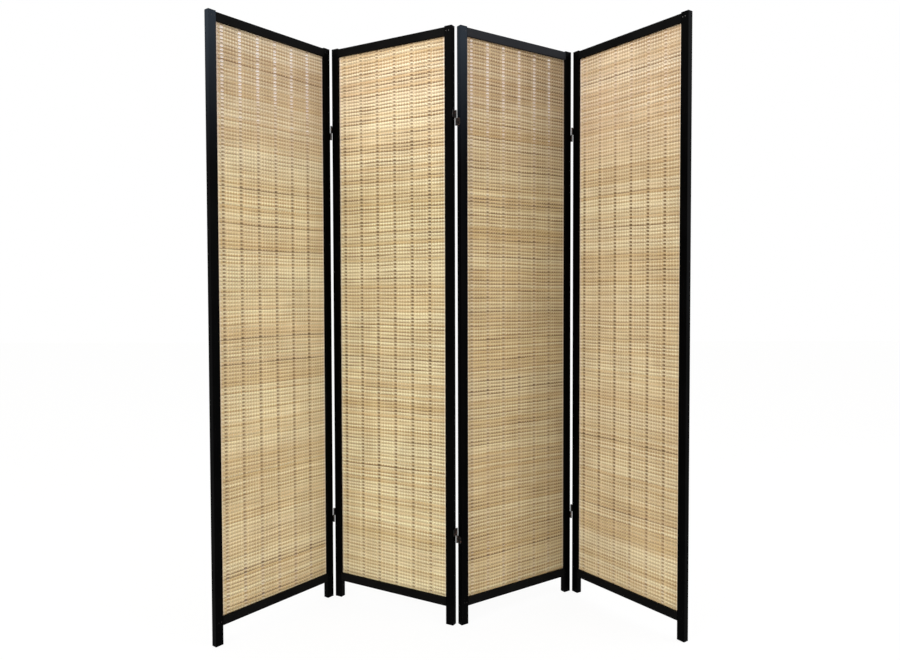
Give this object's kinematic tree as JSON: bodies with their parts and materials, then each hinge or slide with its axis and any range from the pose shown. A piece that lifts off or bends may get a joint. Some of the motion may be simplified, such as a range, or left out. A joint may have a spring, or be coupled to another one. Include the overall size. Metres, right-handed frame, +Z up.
{
  "type": "folding screen",
  "caption": "Free-standing folding screen: black wooden frames holding woven bamboo mats, joined edge to edge by small two-knuckle hinges so that it folds in a zigzag.",
  "frame": {"origin": "on the floor under the middle of the screen's bounding box, as it stands in the picture's zigzag", "axes": "+X along the screen to the viewer's right, +Y away from its front, +Z up"},
  "size_m": [1.3522, 0.4001, 1.778],
  "materials": {
    "black_frame": "satin black paint",
    "bamboo": "natural woven bamboo",
    "black_hinge": "black lacquered steel",
    "hinge_pin": "blackened steel",
    "black_screw": "blackened steel",
    "nail_steel": "dull steel, part covered by paint"
  },
  "bodies": {
    "panel_1": {"panel_1_left_stile": "black_frame", "panel_1_right_stile": "black_frame", "panel_1_top_rail": "black_frame", "panel_1_bottom_rail": "black_frame", "panel_1_bamboo_mat": "bamboo", "panel_1_corner_nails": "nail_steel", "fold_1_lower_left_leaf": "black_hinge", "fold_1_lower_pin": "hinge_pin", "fold_1_upper_left_leaf": "black_hinge", "fold_1_upper_pin": "hinge_pin", "fold_1_left_screws": "black_screw"},
    "panel_2": {"panel_2_left_stile": "black_frame", "panel_2_right_stile": "black_frame", "panel_2_top_rail": "black_frame", "panel_2_bottom_rail": "black_frame", "panel_2_bamboo_mat": "bamboo", "panel_2_corner_nails": "nail_steel", "fold_1_lower_right_leaf": "black_hinge", "fold_1_upper_right_leaf": "black_hinge", "fold_1_right_screws": "black_screw", "fold_2_lower_left_leaf": "black_hinge", "fold_2_upper_left_leaf": "black_hinge", "fold_2_left_screws": "black_screw"},
    "panel_3": {"panel_3_left_stile": "black_frame", "panel_3_right_stile": "black_frame", "panel_3_top_rail": "black_frame", "panel_3_bottom_rail": "black_frame", "panel_3_bamboo_mat": "bamboo", "panel_3_corner_nails": "nail_steel", "fold_2_lower_right_leaf": "black_hinge", "fold_2_lower_pin": "hinge_pin", "fold_2_upper_right_leaf": "black_hinge", "fold_2_upper_pin": "hinge_pin", "fold_2_right_screws": "black_screw", "fold_3_lower_left_leaf": "black_hinge", "fold_3_lower_pin": "hinge_pin", "fold_3_upper_left_leaf": "black_hinge", "fold_3_upper_pin": "hinge_pin", "fold_3_left_screws": "black_screw"},
    "panel_4": {"panel_4_left_stile": "black_frame", "panel_4_right_stile": "black_frame", "panel_4_top_rail": "black_frame", "panel_4_bottom_rail": "black_frame", "panel_4_bamboo_mat": "bamboo", "panel_4_corner_nails": "nail_steel", "fold_3_lower_right_leaf": "black_hinge", "fold_3_upper_right_leaf": "black_hinge", "fold_3_right_screws": "black_screw"}
  },
  "joints": [
    {"name": "fold_1", "type": "hinge", "parent": "panel_2", "child": "panel_1", "pos_m": [-0.38416, 0.14969, 0.889], "axis": [0, 0, 1], "range_deg": [-81.4, 98.6]},
    {"name": "fold_2", "type": "hinge", "parent": "panel_2", "child": "panel_3", "pos_m": [0.01755, -0.05321, 0.889], "axis": [0, 0, 1], "range_deg": [-64.4, 115.6]},
    {"name": "fold_3", "type": "hinge", "parent": "panel_3", "child": "panel_4", "pos_m": [0.39921, 0.18526, 0.889], "axis": [0, 0, -1], "range_deg": [-89.1, 90.9]}
  ]
}
